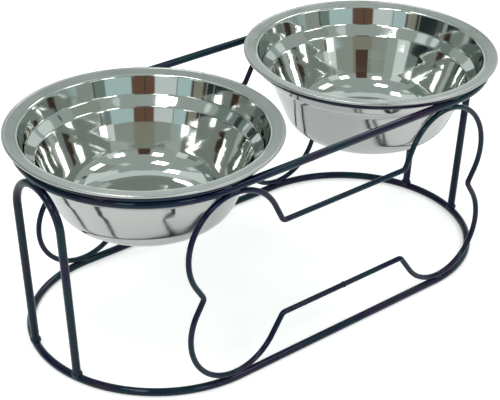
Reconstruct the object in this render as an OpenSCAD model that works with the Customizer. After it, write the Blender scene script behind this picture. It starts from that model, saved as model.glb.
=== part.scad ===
// Double dog feeder: a welded wire stand that carries two loose bowls.
// The floor is z = 0, the long side runs along X, and the front faces -Y.

/* [Wire] */
// Diameter of the rod of the long rings and of the bowl rings
ring_d = 6.2; // [5.4:0.1:7]
// Diameter of the rod of the two end arches
leg_d = 6.4; // [5.6:0.1:7.2]
// Diameter of the wire of the two bone outlines
bone_d = 4.4; // [3.8:0.1:5]
// Depth that two welded wires sink into each other
weld_set = 0.5; // [0.3:0.05:0.8]

/* [Top ring] */
// Radius of the round ends, at the middle of the rod
top_r = 96.7; // [92:0.1:99]
// Half the length of the straight sides, where the bowls are centred
top_half = 115.8; // [112:0.1:122]
// Height of the middle of the rod above the floor
top_z = 164.1; // [150:0.1:180]

/* [Base ring] */
// Radius of the round ends, at the middle of the rod
base_r = 102.5; // [98:0.1:108]
// Half the length of the straight sides
base_half = 104.5; // [98:0.1:112]

/* [End arches] */
// Distance of each leg from the middle of the end
leg_y = 28.5; // [22:0.5:36]

/* [Bones] */
// Radius of the four round lobes, at the middle of the wire
lobe_r = 42.5; // [39:0.1:44]
// Distance of the lobe centres from the middle of the bone
lobe_x = 108.5; // [100:0.1:116]
// Distance between the two long sides of the shaft
shaft_gap = 80; // [70:0.5:88]
// How far the shaft lies below the middle of the bone
shaft_drop = 2.7; // [0:0.1:5]
// Run from the lobe's side to the corner of the shaft
corner_reach = 3; // [1:0.1:5]
// Run from the lobe's side to the point of the notch
notch_reach = 1.8; // [1:0.1:3]
// Radius of the tight bends, at the middle of the wire
bend_r = 4; // [3.4:0.1:5]
// Extra diameter of the knuckle that the bending leaves at each end of a bend
knuckle_rise = 0.14; // [0.12:0.01:0.2]
// Length of that knuckle
knuckle_l = 0.6; // [0.5:0.05:0.8]

/* [Bowls] */
// Outer diameter of the rim
rim_d = 210; // [206:0.5:216]
// Diameter of the rolled edge of the rim
bead_d = 2.6; // [2.2:0.1:3.2]
// Height of the rolled edge above the flat rim
bead_rise = 0.4; // [0.2:0.05:0.6]
// Thickness of the sheet
bowl_t = 0.8; // [0.6:0.05:1]
// Slope of the flat rim, down to the inside
rim_slope = 8; // [2:0.5:12]
// Room between the rod of the bowl ring and the rim above it
rim_lift = 0.6; // [0.4:0.1:3]
// Slope of the upper wall from the vertical
wall_taper = 17; // [12:0.5:20]
// Room between the upper wall and the rod that it sits in
seat_gap = 0.3; // [0.2:0.05:0.5]
// Depth of the upper wall below the rim
wall_h = 15.5; // [13:0.1:17]
// Depth of the ledge's lower edge below the rim
ledge_h = 22.6; // [20:0.1:26]
// Inner radius of the shoulder at the ledge
shoulder_r = 81.8; // [79:0.1:84]
// Depth of the shoulder's lower edge below the rim
shoulder_h = 34; // [30:0.1:40]
// Slope of the shoulder from the vertical
shoulder_taper = 20.5; // [16:0.5:22]
// Slope of the lower wall from the vertical
lower_taper = 22.5; // [20:0.5:28]
// Depth of the inside of the bottom below the rim
bowl_h = 69.8; // [62:0.1:76]
// Radius of the round corner at the bottom
bottom_r = 26; // [18:0.5:30]
// Radius of the bend from the rim to the upper wall
rim_bend = 2.2; // [1.6:0.1:3]
// Radius of the bends above and below the ledge
ledge_bend = 4; // [2:0.5:6]
// Radius of the bend from the shoulder to the lower wall
shoulder_bend = 40; // [10:1:80]

/* [Welds] */
// Diameter of the beads that join bowl rings, arch tops and bones
bead_w = 4.4; // [3.8:0.1:5]
// Straight length of those beads
bead_l = 5; // [3:0.5:8]
// Diameter of the bead around each foot of the arches
foot_w = 8.2; // [7.6:0.1:9]
// Angle of the outer beads of the bowl rings from the end of the stand
weld_angle = 35; // [20:1:50]
// How far the seam of each bone stands out all round
seam_rise = 0.35; // [0.2:0.05:0.6]

/* [Hidden] */
$fn = 96;

wire_colour = "#17181c";
weld_colour = "#24262b";
steel_colour = "#b9bcbb";

// Heights of the rods
base_z = ring_d / 2;
bowl_ring_z = top_z + ring_d - weld_set;

// An arch leans out from its feet on the base ring to the end of the top ring
foot_x = base_half + sqrt(base_r * base_r - leg_y * leg_y);
arch_top_x = top_half + top_r;
arch_top_z = top_z - ring_d / 2 - leg_d / 2 + weld_set;
arch_rise = arch_top_z - base_z;
arch_lean = atan((arch_top_x - foot_x) / arch_rise);
arch_h = norm([arch_top_x - foot_x, arch_rise]);

// A bone stands between the long sides of the two rings
bone_lean = atan((base_r - top_r) / (top_z - base_z));
bone_slant = norm([base_r - top_r, top_z - base_z]);
bone_half_h = (bone_slant - ring_d - bone_d) / 2 + weld_set;
lobe_y = bone_half_h - lobe_r;
shaft_x = lobe_x - lobe_r - corner_reach;
notch_x = lobe_x + sqrt(pow(lobe_r + notch_reach, 2) - lobe_y * lobe_y);
to_notch = atan2(-lobe_y, notch_x - lobe_x) + acos(lobe_r / (lobe_r + notch_reach));
notch_run = bend_r * tan(-to_notch);

// Flat rim of a bowl, as a line over the rod of the bowl ring
rim_r = rim_d / 2;
rod_top = bowl_ring_z + ring_d / 2;
rim_z = rod_top + rim_lift + bowl_t;
bead_r = rim_r - bead_d / 2;
function rim_at(r) = rim_z + (r - top_r) * tan(rim_slope);
bead_z = rim_at(bead_r) + bead_rise - bead_d / 2;

// Inner face of the upper wall, as a line at its seat on the rod
seat_reach = ring_d / 2 + seat_gap + bowl_t;
seat_r = top_r - seat_reach * cos(wall_taper);
seat_z = bowl_ring_z + seat_reach * sin(wall_taper);
function wall_at(z) = seat_r + (z - seat_z) * tan(wall_taper);

// Where the flat rim and the upper wall would meet
meet_slope = tan(rim_slope) * tan(wall_taper);
meet_z = (rim_at(seat_r) - seat_z * meet_slope) / (1 - meet_slope);

// Corners of the inner face, from the rolled edge to the middle of the bottom, each with its bend
ledge_z = rim_z - wall_h;
bottom_z = rim_z - bowl_h;
lower_r = shoulder_r - (shoulder_h - ledge_h) * tan(shoulder_taper);
corner_r = lower_r - (bowl_h - shoulder_h) * tan(lower_taper);
bowl_line = [
    [bead_r, rim_at(bead_r), 0],
    [wall_at(meet_z), meet_z, rim_bend],
    [wall_at(ledge_z), ledge_z, ledge_bend],
    [shoulder_r, rim_z - ledge_h, ledge_bend],
    [lower_r, rim_z - shoulder_h, shoulder_bend],
    [corner_r, bottom_z, bottom_r],
    [0, bottom_z, 0]
];
bend_steps = 12;

// Direction of the line from point p to point q
function heading(p, q) = atan2(q[1] - p[1], q[0] - p[0]);

// Turn from the line p q into the line q s, to the left if positive
function turn(p, q, s) =
    let (raw = heading(q, s) - heading(p, q))
    raw > 180 ? raw - 360 : raw < -180 ? raw + 360 : raw;

// Point at corner i of a line when the line is moved by d to its left
function moved(line, i, d) =
    let (p = line[max(i - 1, 0)], q = line[i], s = line[min(i + 1, len(line) - 1)])
    let (first = i == 0, last = i == len(line) - 1)
    let (a = first ? heading(q, s) : heading(p, q))
    let (t = first || last ? 0 : turn(p, q, s))
    let (m = a + t / 2 + 90)
    [q[0] + d / cos(t / 2) * cos(m), q[1] + d / cos(t / 2) * sin(m)];

// Points of a bent line moved by d to its left, with every bend as an arc
function bent(line, d) = [
    for (i = [0 : len(line) - 1])
        let (q = moved(line, i, d))
        if (line[i][2] == 0) q
        else
            let (a = heading(line[i - 1], line[i]), t = turn(line[i - 1], line[i], line[i + 1]))
            let (r = line[i][2] - sign(t) * d, run = r * tan(abs(t) / 2))
            let (start = q - run * [cos(a), sin(a)])
            let (hub = start + sign(t) * r * [cos(a + 90), sin(a + 90)])
            for (k = [0 : bend_steps])
                let (b = a + t * k / bend_steps - sign(t) * 90)
                hub + r * [cos(b), sin(b)]
];

// A straight piece of wire of diameter d from point p to point q of the drawing plane
module straight(p, q, d) {
    translate([p[0], p[1], 0])
        rotate([0, 0, heading(p, q)])
            rotate([0, 90, 0])
                cylinder(h = norm([q[0] - p[0], q[1] - p[1]]), d = d);
}

// A bent piece of wire round a hub, of bend radius r, from angle a through angle sweep
module curved(hub, r, a, sweep, d) {
    translate([hub[0], hub[1], 0])
        rotate([0, 0, a])
            rotate_extrude(angle = sweep)
                translate([r, 0])
                    circle(d = d);
}

// A closed rod with two straight sides and two half-round ends
module long_ring(r, half) {
    for (side = [0, 180])
        rotate([0, 0, side]) {
            curved([half, 0], r, -90, 180, ring_d);
            straight([-half, -r], [half, -r], ring_d);
        }
}

// A weld bead with round ends, along X
module bead() {
    rotate([0, 90, 0])
        cylinder(h = bead_l, d = bead_w, center = true);
    for (end = [-1, 1])
        translate([end * bead_l / 2, 0, 0])
            sphere(d = bead_w);
}

module at_base() {
    translate([0, 0, base_z])
        children();
}

module base_ring() {
    color(wire_colour)
        at_base()
            long_ring(base_r, base_half);
}

module top_ring() {
    color(wire_colour)
        translate([0, 0, top_z])
            long_ring(top_r, top_half);
}

// An upside-down U of rod on the end of the stand at +X, its feet cut to sit on the base ring
module arch() {
    spring = arch_h - leg_y;
    difference() {
        translate([foot_x, 0, base_z])
            rotate([0, arch_lean, 0])
                rotate([90, 0, 90]) {
                    curved([0, spring], leg_y, 0, 180, leg_d);
                    for (side = [-1, 1])
                        straight([side * leg_y, 0], [side * leg_y, spring], leg_d);
                }
        at_base()
            curved([base_half, 0], base_r, -90, 180, ring_d);
    }
}

module left_arch() {
    color(wire_colour)
        rotate([0, 0, 180])
            arch();
}

module right_arch() {
    color(wire_colour)
        arch();
}

// The drawing plane of a bone, from the long side of the base ring to that of the top ring
module bone_plane() {
    translate([0, -(base_r + top_r) / 2, (base_z + top_z) / 2])
        rotate([90 - bone_lean, 0, 0])
            children();
}

// A knuckle of the bent wire, which joins a straight run at angle a to a bend at point p
module knuckle(p, a) {
    translate([p[0], p[1], 0])
        rotate([0, 0, a])
            rotate([0, 90, 0])
                cylinder(h = knuckle_l, d = bone_d + knuckle_rise, center = true);
}

// Angle on an upper right lobe where the run to the shaft's corner leaves it, and that run's bend
function to_corner(corner) =
    let (reach = corner - [lobe_x, lobe_y])
    atan2(reach[1], reach[0]) - acos(lobe_r / norm(reach));
function corner_run(corner) = bend_r * tan((to_corner(corner) - 90) / 2);

// One lobe of a bone, at upper right, with its runs to the corner of the shaft and to the notch
module lobe(corner) {
    hub = [lobe_x, lobe_y];
    leave = to_corner(corner);
    rise = leave - 90;
    run = corner_run(corner);
    shaft_end = corner - [run, 0];
    corner_end = corner + run * [cos(rise), sin(rise)];
    lobe_start = hub + lobe_r * [cos(leave), sin(leave)];
    lobe_end = hub + lobe_r * [cos(to_notch), sin(to_notch)];
    notch_end = [notch_x, 0] + notch_run * [-sin(to_notch), cos(to_notch)];
    curved(shaft_end + [0, bend_r], bend_r, -90, rise, bone_d);
    straight(corner_end, lobe_start, bone_d);
    curved(hub, lobe_r, to_notch, leave - to_notch, bone_d);
    straight(lobe_end, notch_end, bone_d);
    knuckle(shaft_end, 0);
    for (p = [corner_end, lobe_start])
        knuckle(p, rise);
    for (p = [lobe_end, notch_end])
        knuckle(p, to_notch + 90);
}

// One long side of a bone's shaft, between its two corners
module shaft_side(corner) {
    half = corner[0] - corner_run(corner);
    straight([-half, corner[1]], [half, corner[1]], bone_d);
}

// A closed bone outline at the front
module bone() {
    upper = [shaft_x, shaft_gap / 2 - shaft_drop];
    lower = [shaft_x, shaft_gap / 2 + shaft_drop];
    bone_plane() {
        for (left = [0, 1])
            mirror([left, 0, 0]) {
                lobe(upper);
                mirror([0, 1, 0])
                    lobe(lower);
                curved([notch_x + bend_r / cos(to_notch), 0], bend_r, 180 + to_notch, -2 * to_notch, bone_d);
            }
        shaft_side(upper);
        mirror([0, 1, 0])
            shaft_side(lower);
    }
}

module front_bone() {
    color(wire_colour)
        bone();
}

module back_bone() {
    color(wire_colour)
        rotate([0, 0, 180])
            bone();
}

// A full circle of rod on the end of the top ring, which the bowl sits in
module bowl_ring(side) {
    translate([side * top_half, 0, bowl_ring_z])
        rotate_extrude()
            translate([top_r, 0])
                circle(d = ring_d);
}

module left_bowl_ring() {
    color(wire_colour)
        bowl_ring(-1);
}

module right_bowl_ring() {
    color(wire_colour)
        bowl_ring(1);
}

// A round bead on each foot, where the leg meets the top of the base ring
module foot_welds() {
    color(weld_colour)
        for (side = [0, 180], y = [-leg_y, leg_y])
            rotate([0, 0, side])
                translate([foot_x, y, base_z])
                    rotate([0, arch_lean, 0])
                        translate([0, 0, ring_d / 2])
                            sphere(d = foot_w);
}

// A bead under each end of the top ring, along the top of the arch
module arch_welds() {
    color(weld_colour)
        for (side = [-1, 1])
            translate([side * arch_top_x, 0, top_z - (ring_d - weld_set) / 2])
                rotate([0, 0, 90])
                    bead();
}

// Beads where the lobes of the bones touch a ring: the top ring at level 1, the base ring at level -1
module bone_beads(level) {
    for (face = [0, 180], x = [-lobe_x, lobe_x])
        rotate([0, 0, face])
            bone_plane()
                translate([x, level * (bone_half_h + (bone_d - weld_set) / 2), 0])
                    bead();
}

module upper_bone_welds() {
    color(weld_colour)
        bone_beads(1);
}

module lower_bone_welds() {
    color(weld_colour)
        bone_beads(-1);
}

// The closed joint of each bone's wire, in the middle of the lower side of its shaft
module bone_seams() {
    color(weld_colour)
        for (face = [0, 180])
            rotate([0, 0, face])
                bone_plane()
                    translate([0, -shaft_gap / 2 - shaft_drop, 0])
                        sphere(d = bone_d + 2 * seam_rise);
}

// Beads between each bowl ring and the top ring: two at the sides and two towards the end
module bowl_ring_welds() {
    color(weld_colour)
        for (side = [0, 180], a = [-90, -weld_angle, weld_angle, 90])
            rotate([0, 0, side])
                translate([top_half, 0, top_z + (ring_d - weld_set) / 2])
                    rotate([0, 0, a])
                        translate([top_r, 0, 0])
                            rotate([0, 0, 90])
                                bead();
}

// A bowl drawn from one sheet, with a flat rim and a rolled edge
module bowl(side) {
    inside = bent(bowl_line, 0);
    outside = bent(bowl_line, bowl_t);
    translate([side * top_half, 0, 0]) {
        rotate_extrude()
            polygon(concat(inside, [for (i = [len(outside) - 1 : -1 : 0]) outside[i]]));
        rotate_extrude()
            translate([bead_r, bead_z])
                circle(d = bead_d);
    }
}

module left_bowl() {
    color(steel_colour)
        bowl(-1);
}

module right_bowl() {
    color(steel_colour)
        bowl(1);
}

base_ring();
left_arch();
right_arch();
front_bone();
back_bone();
top_ring();
left_bowl_ring();
right_bowl_ring();
foot_welds();
arch_welds();
upper_bone_welds();
lower_bone_welds();
bone_seams();
bowl_ring_welds();
left_bowl();
right_bowl();
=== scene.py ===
import bpy
import numpy as np
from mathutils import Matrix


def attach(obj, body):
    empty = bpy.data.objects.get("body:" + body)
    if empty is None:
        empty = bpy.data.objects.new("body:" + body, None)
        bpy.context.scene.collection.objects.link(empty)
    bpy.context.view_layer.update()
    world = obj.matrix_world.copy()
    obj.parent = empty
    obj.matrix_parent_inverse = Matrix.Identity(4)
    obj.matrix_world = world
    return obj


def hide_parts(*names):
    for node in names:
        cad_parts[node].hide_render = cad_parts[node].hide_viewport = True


# Dog feeder stand: a stand of welded wire and two steel bowls that lift out of it, in metres.
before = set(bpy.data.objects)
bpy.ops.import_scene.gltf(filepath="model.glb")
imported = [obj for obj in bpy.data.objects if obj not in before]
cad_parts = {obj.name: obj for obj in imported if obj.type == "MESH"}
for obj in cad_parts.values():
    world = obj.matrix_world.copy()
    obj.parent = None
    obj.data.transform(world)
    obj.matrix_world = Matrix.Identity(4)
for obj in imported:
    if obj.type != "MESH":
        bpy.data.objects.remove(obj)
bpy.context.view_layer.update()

# Base ring: one length of drawn mild steel rod, bent to a long loop and butt welded shut.
# It lies flat on the floor and carries the arches and the bones. After welding, the whole stand
# is dipped in black enamel and stoved.
MM = 0.001
ROD_D = 6.2 * MM
BASE_R = 102.5 * MM
BASE_HALF = 104.5 * MM
BASE_Z = ROD_D / 2
ROD_SIDES = 28
ROD_STEP = 1.6 * MM
ENAMEL_BLUE = "#080c30"
ENAMEL_VIOLET = "#2a1834"
ENAMEL_TEAL = "#062a32"
ENAMEL_FILM = "#aabac4"
ENAMEL_RUN = 40 * MM  # size of a patch of colour
ENAMEL_IOR = 1.5
ENAMEL_PEEL = 2.4 * MM  # size of a dimple of the orange peel
PEEL_DEPTH = 0.04 * MM
PEEL_SHARE = 0.4
VIOLET_FROM, VIOLET_FULL = 0.42, 0.62  # levels of the noise at which violet begins and is full
TEAL_FROM, TEAL_FULL = 0.46, 0.66
GLOSS_SHARP, GLOSS_SOFT = 0.05, 0.12  # least and greatest roughness
NOISE_LOW, NOISE_HIGH = 0.3, 0.7  # levels that most of a noise lies between
PATCH_DETAIL = 3.0  # octaves of a noise that makes patches
GRAIN_DETAIL = 2.0  # octaves of a noise that makes a fine relief
ARC_STEP = 0.25  # degrees between the points of an arc


def linear(colour):
    """An sRGB hex colour as linear RGBA: c / 12.92 up to 0.04045, else ((c + 0.055) / 1.055) ** 2.4."""
    c = np.array([int(colour[k:k + 2], 16) for k in (1, 3, 5)]) / 255
    return (*np.where(c <= 0.04045, c / 12.92, ((c + 0.055) / 1.055) ** 2.4), 1.0)


def add(tree, kind, values=None, links=None, **settings):
    """Adds a node: settings are its own properties, values go on its sockets, and links join outputs of
    other nodes to its sockets."""
    made = tree.nodes.new(kind)
    for name, value in settings.items():
        setattr(made, name, value)
    for socket, value in (values or {}).items():
        made.inputs[socket].default_value = value
    for socket, output in (links or {}).items():
        tree.links.new(output, made.inputs[socket])
    return made


def blank(name):
    """A new material with an empty node tree, and that tree."""
    made = bpy.data.materials.new(name)
    made.use_nodes = True
    made.node_tree.nodes.clear()
    return made, made.node_tree


def arc(hub, r, start, sweep, step=ARC_STEP):
    """Points hub + r (cos a, sin a), with a running from start through sweep, about step degrees apart."""
    a = np.radians(np.linspace(start, start + sweep, int(abs(sweep) / step) + 2))
    return np.stack([hub[0] + r * np.cos(a), hub[1] + r * np.sin(a)], axis=1)


def evened(points, step, closed):
    """The line through points cut at even steps: x and y are read off against the length run so far."""
    line = np.vstack([points, points[:1]]) if closed else points
    run = np.concatenate([[0], np.cumsum(np.linalg.norm(np.diff(line, axis=0), axis=1))])
    at = np.linspace(0, run[-1], int(round(run[-1] / step)) + 1)
    at = at[:-1] if closed else at
    return np.stack([np.interp(at, run, line[:, k]) for k in (0, 1)], axis=1)


def skin(rings, closed, start=0):
    """Vertices and faces over rings of points: quads between neighbours, and a flat cap on each open end.
    The faces count the vertices from start."""
    n, m = rings.shape[:2]
    i = np.arange(n if closed else n - 1)[:, None]
    j = np.arange(m)[None, :]
    i2, j2 = (i + 1) % n, (j + 1) % m
    quads = start + np.stack([i * m + j, i2 * m + j, i2 * m + j2, i * m + j2], axis=-1).reshape(-1, 4)
    numbers = start + np.arange(n * m)
    caps = [] if closed else [numbers[:m].tolist(), numbers[-m:][::-1].tolist()]
    return rings.reshape(-1, 3), quads.tolist() + caps


def rod(points, origin, across, up, d, sides, step, closed=True, squeeze=0.0):
    """A round rod along a flat line: ring p + d/2 (cos a m + sin a n), where m lies in the plane of the
    line, square to its run t, and n is square to the plane. On a bend of about the rod's own size the ring
    is squeezed: its in-plane half shrinks, and the other half grows, by the share squeeze."""
    line = evened(points, step, closed)
    t = np.roll(line, -1, axis=0) - np.roll(line, 1, axis=0) if closed else np.gradient(line, axis=0)
    t /= np.linalg.norm(t, axis=1, keepdims=True)
    turn = np.linalg.norm(np.roll(t, -1, axis=0) - np.roll(t, 1, axis=0), axis=1) / (2 * step)
    tight = np.clip(turn * d, 0, 1)[:, None] * squeeze
    a = 2 * np.pi * np.arange(sides)[None, :] / sides
    m = np.stack([t[:, 1], -t[:, 0]], axis=1)
    flat = line[:, None, :] + (d / 2 * (1 - tight) * np.cos(a))[..., None] * m[:, None, :]
    high = d / 2 * (1 + tight) * np.sin(a)
    axes = np.array([across, up, np.cross(across, up)])
    return skin(np.concatenate([flat, high[..., None]], axis=2) @ axes + np.array(origin), closed)


def shown(name, verts, faces, *materials):
    """A smooth mesh object of those vertices and faces, at the origin, with those materials."""
    mesh = bpy.data.meshes.new(name)
    mesh.from_pydata(verts.tolist(), [], faces)
    mesh.shade_smooth()
    made = bpy.data.objects.new(name, mesh)
    bpy.context.scene.collection.objects.link(made)
    for material in materials:
        mesh.materials.append(material)
    return made


def long_loop(r, half):
    """A loop with two straight sides and two half-round ends, run counter-clockwise."""
    return np.vstack([arc((half, 0), r, -90, 180), arc((-half, 0), r, 90, 180)])


def stand_piece(made, node):
    """Sets a piece of the welded stand to ride on it, in place of its CAD node."""
    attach(made, "stand")
    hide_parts(node)


# Black stoving enamel on steel: a glossy dipped coat that breaks to blue, violet and teal as it thins, and
# cools what it mirrors. A faint orange peel softens its highlights.
enamel, tree = blank("black_stoving_enamel")
place = add(tree, "ShaderNodeTexCoord")
run = add(tree, "ShaderNodeTexNoise", {"Scale": 1 / ENAMEL_RUN, "Detail": PATCH_DETAIL},
          {"Vector": place.outputs["Object"]})
parts = add(tree, "ShaderNodeSeparateColor", None, {"Color": run.outputs["Color"]})
warm = add(tree, "ShaderNodeMapRange", {"From Min": VIOLET_FROM, "From Max": VIOLET_FULL},
           {"Value": parts.outputs["Red"]})
green = add(tree, "ShaderNodeMapRange", {"From Min": TEAL_FROM, "From Max": TEAL_FULL},
            {"Value": parts.outputs["Green"]})
cast = add(tree, "ShaderNodeMix", {"A": linear(ENAMEL_BLUE), "B": linear(ENAMEL_VIOLET)},
           {"Factor": warm.outputs["Result"]}, data_type="RGBA")
coat = add(tree, "ShaderNodeMix", {"B": linear(ENAMEL_TEAL)},
           {"Factor": green.outputs["Result"], "A": cast.outputs["Result"]}, data_type="RGBA")
gloss = add(tree, "ShaderNodeMapRange",
            {"From Min": NOISE_LOW, "From Max": NOISE_HIGH, "To Min": GLOSS_SHARP, "To Max": GLOSS_SOFT},
            {"Value": run.outputs["Fac"]})
peel = add(tree, "ShaderNodeTexNoise", {"Scale": 1 / ENAMEL_PEEL, "Detail": GRAIN_DETAIL},
           {"Vector": place.outputs["Object"]})
skinned = add(tree, "ShaderNodeBump", {"Strength": PEEL_SHARE, "Distance": PEEL_DEPTH},
              {"Height": peel.outputs["Fac"]})
painted = add(tree, "ShaderNodeBsdfPrincipled", {"IOR": ENAMEL_IOR, "Specular Tint": linear(ENAMEL_FILM)},
              {"Base Color": coat.outputs["Result"], "Roughness": gloss.outputs["Result"],
               "Normal": skinned.outputs["Normal"]})
add(tree, "ShaderNodeOutputMaterial", None, {"Surface": painted.outputs["BSDF"]})

base_rod = rod(long_loop(BASE_R, BASE_HALF), (0, 0, BASE_Z), (1, 0, 0), (0, 1, 0),
               ROD_D, ROD_SIDES, ROD_STEP)
stand_piece(shown("base_ring_rod", *base_rod, enamel), "base_ring")

# End arches: two rods, each bent to an upside-down U whose feet are welded on top of the base ring.
# They are of the same enamelled steel, and lean out a little, because the top ring is the longer one.
LEG_D = 6.4 * MM
LEG_Y = 28.5 * MM
FOOT_X = BASE_HALF + (BASE_R ** 2 - LEG_Y ** 2) ** 0.5
LEG_START = 1.2 * MM  # height of each leg's end over the middle of the base rod
TOP_R = 96.7 * MM
TOP_HALF = 115.8 * MM
TOP_Z = 164.1 * MM
WELD_SET = 0.5 * MM  # how far two welded wires sink into each other
ARCH_RUN = TOP_HALF + TOP_R - FOOT_X
ARCH_RISE = TOP_Z - ROD_D / 2 - LEG_D / 2 + WELD_SET - BASE_Z
ARCH_H = (ARCH_RUN ** 2 + ARCH_RISE ** 2) ** 0.5


def arch_lean(end):
    """The direction in which the arch on that end of the stand leans, as a unit vector."""
    return np.array([end * ARCH_RUN, 0, ARCH_RISE]) / ARCH_H


arch_line = np.vstack([[(LEG_Y, LEG_START)], arc((0, ARCH_H - LEG_Y), LEG_Y, 0, 180),
                       [(-LEG_Y, LEG_START)]])
for side, end in (("left", -1), ("right", 1)):
    arch = rod(arch_line, (end * FOOT_X, 0, BASE_Z), (0, end, 0), arch_lean(end),
               LEG_D, ROD_SIDES, ROD_STEP, closed=False)
    stand_piece(shown(side + "_arch_rod", *arch, enamel), side + "_arch")

# Bones: two thin wires of the same enamelled steel, each bent round a form to a bone outline and closed by
# a butt weld in the lower shaft. Each stands between the long sides of the two rings and is welded to them
# at its four lobes.
BONE_D = 4.4 * MM
LOBE_R = 42.5 * MM
LOBE_X = 108.5 * MM
SHAFT_HALF = 40 * MM
SHAFT_DROP = 2.7 * MM  # how far the shaft lies below the middle of the bone
CORNER_REACH = 3 * MM  # from the lobe's side to the corner of the shaft
SHAFT_X = LOBE_X - LOBE_R - CORNER_REACH
BEND_R = 4 * MM
BEND_SQUEEZE = 0.07
NOTCH_REACH = 1.8 * MM  # from the lobe's side to the point of the notch
BONE_SIDES = 24
BONE_STEP = 0.7 * MM
BONE_RISE = TOP_Z - BASE_Z
BONE_SLANT = ((BASE_R - TOP_R) ** 2 + BONE_RISE ** 2) ** 0.5
BONE_HALF_H = (BONE_SLANT - ROD_D - BONE_D) / 2 + WELD_SET
LOBE_Y = BONE_HALF_H - LOBE_R
NOTCH_X = LOBE_X + ((LOBE_R + NOTCH_REACH) ** 2 - LOBE_Y ** 2) ** 0.5
TO_NOTCH = np.degrees(np.arctan2(-LOBE_Y, NOTCH_X - LOBE_X) + np.arccos(LOBE_R / (LOBE_R + NOTCH_REACH)))


def lobe(drop):
    """An upper right lobe: a tight bend out of the shaft, a straight run that leaves the bend and meets
    the lobe's circle along its tangent, and the circle round to where the straight run to the notch leaves
    it. The shaft lies lower by drop."""
    corner = np.array([SHAFT_X, SHAFT_HALF - drop])
    reach = corner - (LOBE_X, LOBE_Y)
    leave = np.degrees(np.arctan2(reach[1], reach[0]) - np.arccos(LOBE_R / np.linalg.norm(reach)))
    run = BEND_R * np.tan(np.radians(leave - 90) / 2)
    return np.vstack([arc(corner + (-run, BEND_R), BEND_R, -90, leave - 90),
                      arc((LOBE_X, LOBE_Y), LOBE_R, leave, TO_NOTCH - leave)])


def bone_plane(face):
    """The middle of the bone on the front, 1, or the back, -1, and its upward direction."""
    lean = np.array([0, face * (BASE_R - TOP_R), BONE_RISE]) / BONE_SLANT
    return np.array([0, -face * (BASE_R + TOP_R) / 2, (BASE_Z + TOP_Z) / 2]), lean


notch = arc((NOTCH_X + BEND_R / np.cos(np.radians(TO_NOTCH)), 0), BEND_R, 180 + TO_NOTCH, -2 * TO_NOTCH)
bone_right = np.vstack([lobe(SHAFT_DROP), notch, (lobe(-SHAFT_DROP) * (1, -1))[::-1]])
bone_line = np.vstack([bone_right, (bone_right * (-1, 1))[::-1]])
for side, face in (("front", 1), ("back", -1)):
    middle, lean = bone_plane(face)
    bone = rod(bone_line, middle, (face, 0, 0), lean,
               BONE_D, BONE_SIDES, BONE_STEP, squeeze=BEND_SQUEEZE)
    stand_piece(shown(side + "_bone_wire", *bone, enamel), side + "_bone")

# Top ring: a second loop of the rod, narrower and longer than the base ring.
# It is bent and butt welded like the base ring, and is welded on the tops of the arches and bones.
top_rod = rod(long_loop(TOP_R, TOP_HALF), (0, 0, TOP_Z), (1, 0, 0), (0, 1, 0),
              ROD_D, ROD_SIDES, ROD_STEP)
stand_piece(shown("top_ring_rod", *top_rod, enamel), "top_ring")

# Bowl rings: two full circles of the same rod, rolled and butt welded.
# They are welded on the ends of the top ring, and a bowl sits in each by its upper wall.
BOWL_RING_Z = TOP_Z + ROD_D - WELD_SET
for side, end in (("left", -1), ("right", 1)):
    bowl_rod = rod(arc((0, 0), TOP_R, 0, 360 - ARC_STEP), (end * TOP_HALF, 0, BOWL_RING_Z), (1, 0, 0),
                   (0, 1, 0), ROD_D, ROD_SIDES, ROD_STEP)
    stand_piece(shown(side + "_bowl_ring_rod", *bowl_rod, enamel), side + "_bowl_ring")

# Weld beads: short runs of weld metal in the grooves between the rods, and a blob on each foot and on the
# joint of each bone. They are left as they froze, with the ripple of the arc still showing under the enamel.
BEAD_W = 4.4 * MM
BEAD_L = 5 * MM
BEAD_RIPPLE = 0.05
BEAD_TIP = 0.06  # least s, in radians
BEAD_BLUNT = 0.7
RIPPLE_COUNT = 11
RIPPLE_BOW = 1.1
SLUMP_TWIST = 3
FOOT_W = 8.2 * MM
SEAM_PROUD = 0.7 * MM
SEAM_W = BONE_D + SEAM_PROUD
BLOB_RIPPLE = 0.03
WELD_ANGLE = 35
BEAD_RINGS = 41
BEAD_SIDES = 24


def bead(length, width, ripple, centre, along, up):
    """A bead along a line: as s runs from tip to tip, the ring at -cos(s) of the half length has the radius
    width/2 sin(s)^BEAD_BLUNT, with bowed ripples across it and a low slump that twists along it. The bead is
    turned to lie along its wire."""
    s = np.linspace(BEAD_TIP, np.pi - BEAD_TIP, BEAD_RINGS)[:, None]
    a = -2 * np.pi * np.arange(BEAD_SIDES)[None, :] / BEAD_SIDES
    wave = np.cos(RIPPLE_COUNT * s + RIPPLE_BOW * np.cos(a)) + np.sin(2 * a + SLUMP_TWIST * s)
    ring = width / 2 * np.sin(s) ** BEAD_BLUNT * (1 + ripple * wave)
    run = np.broadcast_to(-(length + width) / 2 * np.cos(s), ring.shape)
    axes = np.array([along, np.cross(up, along), up], float)
    return np.stack([run, ring * np.cos(a), ring * np.sin(a)], axis=-1) @ axes + np.array(centre)


def beads(name, rings, node):
    """One object of several beads, in place of the node of those beads."""
    skins = [skin(r, False, k * BEAD_RINGS * BEAD_SIDES) for k, r in enumerate(rings)]
    verts, faces = zip(*skins)
    stand_piece(shown(name, np.vstack(verts), sum(faces, []), enamel), node)


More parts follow.
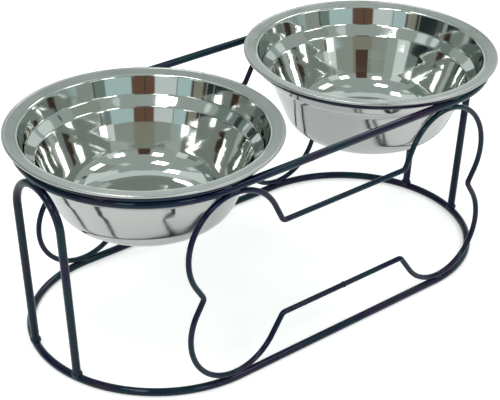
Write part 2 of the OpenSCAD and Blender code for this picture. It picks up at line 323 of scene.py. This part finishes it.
foot_rings = []
arch_rings = []
ring_rings = []
for end in (1, -1):
    rise = ROD_D / 2 * arch_lean(end)
    foot_rings += [bead(0, FOOT_W, BLOB_RIPPLE, rise + (end * FOOT_X, y, BASE_Z), (0, 1, 0), (0, 0, 1))
                   for y in (-LEG_Y, LEG_Y)]
    under = (end * (TOP_HALF + TOP_R), 0, TOP_Z - (ROD_D - WELD_SET) / 2)
    arch_rings.append(bead(BEAD_L, BEAD_W, BEAD_RIPPLE, under, (0, 1, 0), (0, 0, 1)))
    for angle in np.radians([-90, -WELD_ANGLE, WELD_ANGLE, 90]):
        c, s = np.cos(angle), np.sin(angle)
        over = (end * (TOP_HALF + TOP_R * c), end * TOP_R * s, TOP_Z + (ROD_D - WELD_SET) / 2)
        ring_rings.append(bead(BEAD_L, BEAD_W, BEAD_RIPPLE, over, (-end * s, end * c, 0), (0, 0, 1)))
bone_rings = {1: [], -1: []}
seam_rings = []
for face in (1, -1):
    middle, lean = bone_plane(face)
    for level in (1, -1):
        touch = middle + level * (BONE_HALF_H + (BONE_D - WELD_SET) / 2) * lean
        bone_rings[level] += [bead(BEAD_L, BEAD_W, BEAD_RIPPLE, touch + (x, 0, 0), (1, 0, 0), lean)
                              for x in (-LOBE_X, LOBE_X)]
    seam = middle - (SHAFT_HALF + SHAFT_DROP) * lean
    seam_rings.append(bead(0, SEAM_W, BLOB_RIPPLE, seam, (1, 0, 0), lean))
beads("foot_weld_beads", foot_rings, "foot_welds")
beads("arch_weld_beads", arch_rings, "arch_welds")
beads("upper_bone_weld_beads", bone_rings[1], "upper_bone_welds")
beads("lower_bone_weld_beads", bone_rings[-1], "lower_bone_welds")
beads("bone_seam_beads", seam_rings, "bone_seams")
beads("bowl_ring_weld_beads", ring_rings, "bowl_ring_welds")

# Bowls: each drawn from one disc of stainless sheet, with a stepped wall, a flat rim and an edge rolled over
# to a bead. The inside is polished to a mirror and the outside less far, and the rim is brushed satin.
# They drop into their rings, sit there by the upper wall and lift out.
RIM_R = 105 * MM
HEM_R = 1.3 * MM
HEM_RISE = 0.4 * MM  # how far the rolled edge stands above the rim
SHEET = 0.8 * MM
RIM_SLOPE = np.radians(8)
RIM_LIFT = 0.6 * MM  # room between the ring's rod and the rim above it
WALL_TAPER = np.radians(17)
SEAT_GAP = 0.3 * MM  # room between the ring's rod and the upper wall
WALL_H = 15.5 * MM
LEDGE_H = 22.6 * MM
SHOULDER_R = 81.8 * MM
SHOULDER_H = 34 * MM
SHOULDER_TAPER = np.radians(20.5)
LOWER_TAPER = np.radians(22.5)
BOWL_H = 69.8 * MM
RIM_BEND = 2.2 * MM
LEDGE_BEND = 4 * MM
SHOULDER_BEND = 40 * MM
BOTTOM_BEND = 26 * MM
HEM_START = 144  # degrees round the rolled edge at which the rim meets it
HEM_SWEEP = -320
HEM_GAP = 0.1 * MM  # least room from the sheet's last point to the rolled edge's first
POLE = 0.3 * MM  # radius of the small cap in the middle of the bottom
SATIN_FROM = 1.5 * MM  # how far outside the corner of wall and rim the satin begins
BOWL_STEPS = 240
BEND_STEP = 3
RUN_STEP = 1.5 * MM
INSIDE, RIM, OUTSIDE = range(3)
STEEL_POLISHED = "#c7c9c5"
STEEL_DULL = "#c2c3c2"
STEEL_SATIN = "#bdbdbb"
POLISHED_ROUGH = 0.06
DULL_ROUGH = 0.1
SATIN_ROUGH = 0.3
# The real lines of spinning and brushing are finer than a pixel, so these are coarse enough to show.
SPIN_PITCH = 5 * MM
SPIN_DEPTH = 0.012 * MM
BRUSH_PITCH = 3 * MM
BRUSH_DEPTH = 0.004 * MM
HAZE = 18 * MM
HAZE_CLEAR, HAZE_DULL = 0.8, 1.25

rim_z = BOWL_RING_Z + ROD_D / 2 + RIM_LIFT + SHEET
seat_reach = ROD_D / 2 + SEAT_GAP + SHEET
seat_r = TOP_R - seat_reach * np.cos(WALL_TAPER)
seat_z = BOWL_RING_Z + seat_reach * np.sin(WALL_TAPER)
hem_r = RIM_R - HEM_R
hem_top = rim_z + (hem_r - TOP_R) * np.tan(RIM_SLOPE)
hem_z = hem_top + HEM_RISE - HEM_R
lip = np.tan(RIM_SLOPE) * np.tan(WALL_TAPER)
meet_z = (rim_z + (seat_r - TOP_R) * np.tan(RIM_SLOPE) - seat_z * lip) / (1 - lip)
ledge_r, meet_r = seat_r + (np.array([rim_z - WALL_H, meet_z]) - seat_z) * np.tan(WALL_TAPER)
lower_r = SHOULDER_R - (SHOULDER_H - LEDGE_H) * np.tan(SHOULDER_TAPER)
corner_r = lower_r - (BOWL_H - SHOULDER_H) * np.tan(LOWER_TAPER)
corners = np.array([(POLE, rim_z - BOWL_H), (corner_r, rim_z - BOWL_H), (lower_r, rim_z - SHOULDER_H),
                    (SHOULDER_R, rim_z - LEDGE_H), (ledge_r, rim_z - WALL_H), (meet_r, meet_z),
                    (hem_r, hem_top)])
bends = [BOTTOM_BEND, SHOULDER_BEND, LEDGE_BEND, LEDGE_BEND, RIM_BEND]


def filled(line, step):
    """The line with points set evenly into every run that is longer than step."""
    counts = np.ceil(np.linalg.norm(np.diff(line, axis=0), axis=1) / step).astype(int)
    run = np.repeat(np.arange(len(counts)), counts)
    share = ((np.arange(counts.sum()) - (np.cumsum(counts) - counts)[run]) / counts[run])[:, None]
    return np.vstack([line[run] * (1 - share) + line[run + 1] * share, line[-1:]])


def bent(line, radii, out):
    """A bent sheet's line moved by out to its right: every inner corner becomes an arc that touches both
    runs, of its own radius plus out on a left turn and less out on a right turn."""
    run = np.diff(line, axis=0)
    run /= np.linalg.norm(run, axis=1, keepdims=True)
    right = np.stack([run[:, 1], -run[:, 0]], axis=1)
    parts = [line[:1] + out * right[:1]]
    for corner, t0, t1, n0, r in zip(line[1:-1], run[:-1], run[1:], right[:-1], radii):
        turn = np.degrees(np.arctan2(t0[0] * t1[1] - t0[1] * t1[0], t0 @ t1))
        way = np.sign(turn)
        start = corner - r * np.tan(np.radians(abs(turn)) / 2) * t0
        begin = np.degrees(np.arctan2(n0[1], n0[0])) + (0 if way > 0 else 180)
        parts.append(arc(start - way * r * n0, r + way * out, begin, turn, BEND_STEP))
    return filled(np.vstack(parts + [line[-1:] + out * right[-1:]]), RUN_STEP)


inner = bent(corners, bends, 0)
outer = bent(corners, bends, SHEET)
hem = arc((hem_r, hem_z), HEM_R, HEM_START, HEM_SWEEP, 2 * BEND_STEP)
inner = inner[inner[:, 0] < hem[0, 0] - HEM_GAP]
outer = outer[outer[:, 0] < hem[-1, 0] - HEM_GAP]
profile = np.vstack([inner, hem, outer[::-1]])
length = np.concatenate([[0], np.cumsum(np.linalg.norm(np.diff(profile, axis=0), axis=1))])
satin_from = np.argmax(profile[:, 0] > meet_r + SATIN_FROM)
satin_to = len(inner) + len(hem)


def steel(name, colour, rough, pitch, depth):
    """Stainless sheet, worked on a spinning chuck: faint rings of that pitch and depth about the bowl's
    axis, and a haze of handling that dulls the polish here and there."""
    made, tree = blank(name)
    across = add(tree, "ShaderNodeUVMap", uv_map="sheet")
    apart = add(tree, "ShaderNodeSeparateXYZ", None, {"Vector": across.outputs["UV"]})
    lines = add(tree, "ShaderNodeTexNoise", {"Scale": 1 / pitch, "Detail": GRAIN_DETAIL},
                {"W": apart.outputs["Y"]}, noise_dimensions="1D")
    place = add(tree, "ShaderNodeTexCoord")
    haze = add(tree, "ShaderNodeTexNoise", {"Scale": 1 / HAZE, "Detail": PATCH_DETAIL},
               {"Vector": place.outputs["Object"]})
    handled = add(tree, "ShaderNodeMapRange",
                  {"From Min": NOISE_LOW, "From Max": NOISE_HIGH,
                   "To Min": rough * HAZE_CLEAR, "To Max": rough * HAZE_DULL},
                  {"Value": haze.outputs["Fac"]})
    waves = add(tree, "ShaderNodeBump", {"Strength": 1.0, "Distance": depth},
                {"Height": lines.outputs["Fac"]})
    sheet = add(tree, "ShaderNodeBsdfPrincipled", {"Base Color": linear(colour), "Metallic": 1.0},
                {"Roughness": handled.outputs["Result"], "Normal": waves.outputs["Normal"]})
    add(tree, "ShaderNodeOutputMaterial", None, {"Surface": sheet.outputs["BSDF"]})
    return made


# Inside, the mirror polish shows the room sharply, a little waved by the spinning.
polished = steel("mirror_polished_stainless", STEEL_POLISHED, POLISHED_ROUGH, SPIN_PITCH, SPIN_DEPTH)
# On the rim, brushing leaves a pale, even sheen that shows no images.
satin = steel("satin_stainless_rim", STEEL_SATIN, SATIN_ROUGH, BRUSH_PITCH, BRUSH_DEPTH)
# Outside, a shorter polish gives a softer mirror of the floor and the wires.
dull = steel("dull_polished_stainless", STEEL_DULL, DULL_ROUGH, SPIN_PITCH, SPIN_DEPTH)
turn = 2 * np.pi * np.arange(BOWL_STEPS)[None, :] / BOWL_STEPS
band = np.arange(len(profile) - 1)[::-1]
finish = np.where(band >= satin_to, OUTSIDE, np.where(band >= satin_from, RIM, INSIDE))
finish = np.append(np.repeat(finish, BOWL_STEPS), [OUTSIDE, INSIDE]).astype(np.int32)
r, z = profile[:, :1], np.broadcast_to(profile[:, 1:], (len(profile), BOWL_STEPS))
for side, end in (("left", -1), ("right", 1)):
    rings = np.stack([end * TOP_HALF + r * np.cos(turn), r * np.sin(turn), z], axis=-1)
    bowl = shown(side + "_bowl_sheet", *skin(rings[::-1], False), polished, satin, dull)
    bowl.data.polygons.foreach_set("material_index", finish)
    vertex = np.zeros(len(bowl.data.loops), np.int32)
    bowl.data.loops.foreach_get("vertex_index", vertex)
    uv = np.stack([vertex % BOWL_STEPS / BOWL_STEPS, length[::-1][vertex // BOWL_STEPS]], axis=1)
    bowl.data.uv_layers.new(name="sheet").data.foreach_set("uv", uv.astype(np.float32).ravel())
    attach(bowl, side + "_bowl")
    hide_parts(side + "_bowl")

# Floor: a wide sheet of matt white board, laid flat under the stand.
# It shows as white to the camera and in the steel, and keeps the shadow of the stand.
FLOOR_R = 12.0
FLOOR_STEP = 3
FLOOR_WHITE = "#f5f3f2"
FLOOR_ROUGH = 0.9
FLOOR_LIFT = 0.48
MIRROR_LIFT = 0.22

# Matt white board: an even white with no gloss. A lift that only the camera and mirrors see brings it to
# full white.
board, tree = blank("matt_white_board")
seen = add(tree, "ShaderNodeLightPath")
direct = add(tree, "ShaderNodeMath", None,
             {0: seen.outputs["Is Camera Ray"], 1: seen.outputs["Is Transmission Ray"]},
             operation="MAXIMUM")
bare = add(tree, "ShaderNodeMath", {1: FLOOR_LIFT}, {0: direct.outputs["Value"]}, operation="MULTIPLY")
lift = add(tree, "ShaderNodeMath", {1: MIRROR_LIFT},
           {0: seen.outputs["Is Glossy Ray"], 2: bare.outputs["Value"]}, operation="MULTIPLY_ADD")
matt = add(tree, "ShaderNodeBsdfPrincipled",
           {"Base Color": linear(FLOOR_WHITE), "Roughness": FLOOR_ROUGH, "Emission Color": (1, 1, 1, 1)},
           {"Emission Strength": lift.outputs["Value"]})
add(tree, "ShaderNodeOutputMaterial", None, {"Surface": matt.outputs["BSDF"]})
edge = arc((0, 0), FLOOR_R, 0, 360 - FLOOR_STEP, FLOOR_STEP)
floor = shown("floor", np.column_stack([edge, np.zeros(len(edge))]), [list(range(len(edge)))], board)

# Camera: at the place and with the lens that the photograph was taken with.
# It looks down on the left end of the stand and is turned a little about its own axis.
CAMERA_AZIMUTH = -40.43
CAMERA_ELEVATION = 29.81
CAMERA_ROLL = 1.14
CAMERA_DISTANCE = 1160.4 * MM
CAMERA_TARGET = np.array([-26.37, -17.05, 88.54]) * MM
SENSOR_W = 36.0
FOCAL_PX = 1458.8
PHOTO_W = 500


def direction(azimuth, elevation):
    """The unit vector towards that azimuth, which is 0 at the front and 90 at the right, and elevation."""
    a, e = np.radians([azimuth, elevation])
    return np.array([np.sin(a) * np.cos(e), -np.cos(a) * np.cos(e), np.sin(e)])


def placed(made, back, roll, spot):
    """Sets an object at spot with its -Z axis against back, turned by roll about that axis."""
    right = np.cross((0, 0, 1), back)
    right /= np.linalg.norm(right)
    up = np.cross(back, right)
    c, s = np.cos(np.radians(roll)), np.sin(np.radians(roll))
    axes = np.eye(4)
    axes[:3] = np.column_stack([c * right + s * up, c * up - s * right, back, spot])
    made.matrix_world = axes.T
    bpy.context.scene.collection.objects.link(made)


lens = bpy.data.cameras.new("camera")
lens.sensor_width = SENSOR_W
lens.lens = FOCAL_PX * SENSOR_W / PHOTO_W
camera = bpy.data.objects.new("camera", lens)
camera_back = direction(CAMERA_AZIMUTH, CAMERA_ELEVATION)
placed(camera, camera_back, CAMERA_ROLL, CAMERA_TARGET + CAMERA_DISTANCE * camera_back)
bpy.context.scene.camera = camera
bpy.context.scene.view_settings.view_transform = "Standard"

# Studio: a room of cloudy green-blue walls and plain painted boards for the polished steel to show. Part of
# its left side is covered with pale and dark tiles. Soft lamps stand round it, six of them high and two low.
WALL_PALE = "#b9d2d0"
WALL_GREY = "#8fa8a6"
SIDE_DARK = "#2c3536"
SIDE_PALE = "#d3dddb"
SIDE_SHARE = 0.35  # share of the tiles that are wholly dark
SIDE_AT = -94
SIDE_HALF = 40
TILE_SCALE = 5.0
TILE_SPREAD = 0.8
CLOUD_SCALE = 2.6
CLOUD_LOW, CLOUD_HIGH = 0.38, 0.62
CEILING = "#b1bdb9"
SKYLIGHT = "#f0faf8"
WHITE_BOARD = "#e4eeee"
PALE_BOARD = "#c4e0e0"
GREY_BOARD = "#a2aca4"
SHADE_BOARD = "#82928e"
WARM_BOARD = "#98998a"
DARK_BOARD = "#404848"
BLUE_BOARD = "#2f5a66"
BROWN_BOARD = "#765a4b"
BROWN_SHADE = "#59453a"
BOARD_FOOT = -0.1
BOARD_TOP = 0.24
PANEL_TOP = 0.265
BROWN_TOP = 0.283
WALL_TOP = 0.36
ZENITH = 1.01
# Each board: how far it is turned from the camera, to the right, and its half width, in degrees, the least
# and greatest height of the direction that it fills, where straight up is 1, and its colour.
FLATS = [
    (0, 180, WALL_TOP, ZENITH, CEILING),
    (118, 21, 0.71, 0.95, SKYLIGHT),
    (-118, 21, 0.71, 0.95, SKYLIGHT),
    (-98, 22, WALL_TOP, 0.7, SHADE_BOARD),
    (160, 20, 0.82, 0.985, WHITE_BOARD),
    (-160, 20, 0.82, 0.985, WHITE_BOARD),
    (157, 23, BOARD_FOOT, WALL_TOP, WHITE_BOARD),
    (-157, 23, BOARD_FOOT, WALL_TOP, WHITE_BOARD),
    (50, 9, 0.87, 0.94, WHITE_BOARD),
    (84, 18, 0.71, 0.88, GREY_BOARD),
    (-84, 7, 0.74, 0.83, SKYLIGHT),
    (-105, 4, 0.6, 0.67, SKYLIGHT),
    (-112, 2.5, 0.44, 0.56, DARK_BOARD),
    (128, 9, 0.4, 0.6, SKYLIGHT),
    (112.5, 3.5, 0.62, 0.69, BLUE_BOARD),
    (-124, 4, 0.42, 0.5, SKYLIGHT),
    (-130, 4, 0.3, 0.42, DARK_BOARD),
    (28, 12.3, BOARD_FOOT, PANEL_TOP, PALE_BOARD),
    (28, 12.3, PANEL_TOP, WALL_TOP, GREY_BOARD),
    (46, 5.7, BOARD_FOOT, BOARD_TOP, SHADE_BOARD),
    (60, 8.3, BOARD_FOOT, BOARD_TOP, GREY_BOARD),
    (51.3, 0.6, BOARD_FOOT, BOARD_TOP, DARK_BOARD),
    (62, 7, BOARD_TOP, WALL_TOP, CEILING),
    (47, 8, BOARD_TOP, 0.57, SKYLIGHT),
    (-15.8, 10.1, BOARD_FOOT, PANEL_TOP, WHITE_BOARD),
    (-15.8, 10.1, PANEL_TOP, WALL_TOP, GREY_BOARD),
    (-33.3, 7.4, BOARD_FOOT, PANEL_TOP, PALE_BOARD),
    (-26.4, 0.5, BOARD_FOOT, PANEL_TOP, SHADE_BOARD),
    (-31, 6, PANEL_TOP, WALL_TOP, CEILING),
    (-47.7, 8, BOARD_FOOT, BOARD_TOP, WARM_BOARD),
    (-41.5, 0.8, BOARD_FOOT, BOARD_TOP, DARK_BOARD),
    (-53, 1.5, BOARD_FOOT, BOARD_TOP, DARK_BOARD),
    (-60, 7, BOARD_TOP, 0.5, SHADE_BOARD),
    (-45, 7.5, BOARD_TOP, 0.57, SKYLIGHT),
    (5, 10.7, BOARD_FOOT, BROWN_TOP, BROWN_BOARD),
    (3.4, 0.5, BOARD_FOOT, BROWN_TOP, DARK_BOARD),
    (5, 12, BROWN_TOP, WALL_TOP, WARM_BOARD),
    (5.5, 8, 0.335, 0.62, BROWN_SHADE),
]
# Each lamp: its name, how far it is turned from the camera and its elevation, in degrees, its distance,
# width and height, in metres, and its power in watts.
LAMPS = [
    ("key_softbox", -34, 65, 2.2, 0.46, 0.36, 8),
    ("front_panel", -16, 38, 2.2, 0.42, 0.4, 4),
    ("right_panel", 36, 33, 2.2, 0.42, 0.4, 4),
    ("side_panel", 79, 44, 2.2, 0.6, 0.4, 4),
    ("back_softbox", 152, 44, 2.4, 0.7, 0.4, 4),
    ("high_window", -114, 70, 2.2, 0.5, 0.3, 3),
    ("left_strip", -43, 16, 2.2, 0.28, 0.11, 0.4),
    ("right_strip", 49, 16, 2.2, 0.28, 0.11, 0.4),
]
LAMP_AIM = np.array([0, 0, 100]) * MM

world = bpy.data.worlds.new("studio")
bpy.context.scene.world = world
world.use_nodes = True
tree = world.node_tree
tree.nodes.clear()
look = add(tree, "ShaderNodeTexCoord")
level = add(tree, "ShaderNodeSeparateXYZ", None, {"Vector": look.outputs["Generated"]})
ahead = add(tree, "ShaderNodeVectorMath", {1: direction(CAMERA_AZIMUTH, 0)},
            {0: look.outputs["Generated"]}, operation="DOT_PRODUCT")
aside = add(tree, "ShaderNodeVectorMath", {1: direction(CAMERA_AZIMUTH + 90, 0)},
            {0: look.outputs["Generated"]}, operation="DOT_PRODUCT")
turned = add(tree, "ShaderNodeMath", None, {0: aside.outputs["Value"], 1: ahead.outputs["Value"]},
             operation="ARCTAN2")
cloud = add(tree, "ShaderNodeTexNoise", {"Scale": CLOUD_SCALE, "Detail": PATCH_DETAIL},
            {"Vector": look.outputs["Generated"]})
patch = add(tree, "ShaderNodeMapRange", {"From Min": CLOUD_LOW, "From Max": CLOUD_HIGH},
            {"Value": cloud.outputs["Fac"]})
wall = add(tree, "ShaderNodeMix", {"A": linear(WALL_GREY), "B": linear(WALL_PALE)},
           {"Factor": patch.outputs["Result"]}, data_type="RGBA")
tiles = add(tree, "ShaderNodeTexVoronoi", {"Scale": TILE_SCALE, "Randomness": TILE_SPREAD},
            {"Vector": look.outputs["Generated"]}, distance="CHEBYCHEV")
tone = add(tree, "ShaderNodeSeparateColor", None, {"Color": tiles.outputs["Color"]})
share = add(tree, "ShaderNodeMapRange", {"From Min": SIDE_SHARE}, {"Value": tone.outputs["Red"]})
tiled = add(tree, "ShaderNodeMix", {"A": linear(SIDE_DARK), "B": linear(SIDE_PALE)},
            {"Factor": share.outputs["Result"]}, data_type="RGBA")
sides = add(tree, "ShaderNodeMath", {1: np.radians(SIDE_AT), 2: np.radians(SIDE_HALF)},
            {0: turned.outputs["Value"]}, operation="COMPARE")
room = add(tree, "ShaderNodeMix", None,
           {"Factor": sides.outputs["Value"], "A": wall.outputs["Result"], "B": tiled.outputs["Result"]},
           data_type="RGBA")
shade = room.outputs["Result"]
for at, half, low, high, colour in FLATS:
    beside = add(tree, "ShaderNodeMath", {1: np.radians(at), 2: np.radians(half)},
                 {0: turned.outputs["Value"]}, operation="COMPARE")
    within = add(tree, "ShaderNodeMath", {1: (low + high) / 2, 2: (high - low) / 2},
                 {0: level.outputs["Z"]}, operation="COMPARE")
    both = add(tree, "ShaderNodeMath", None, {0: beside.outputs["Value"], 1: within.outputs["Value"]},
               operation="MULTIPLY")
    flat = add(tree, "ShaderNodeMix", {"B": linear(colour)}, {"Factor": both.outputs["Value"], "A": shade},
               data_type="RGBA")
    shade = flat.outputs["Result"]
sky = add(tree, "ShaderNodeBackground", {"Strength": 1.0}, {"Color": shade})
add(tree, "ShaderNodeOutputWorld", None, {"Surface": sky.outputs["Background"]})

for name, at, elevation, distance, width, height, watts in LAMPS:
    data = bpy.data.lights.new(name, "AREA")
    data.shape = "RECTANGLE"
    data.size = width
    data.size_y = height
    data.energy = watts
    back = direction(CAMERA_AZIMUTH + at, elevation)
    placed(bpy.data.objects.new(name, data), back, 0, LAMP_AIM + distance * back)
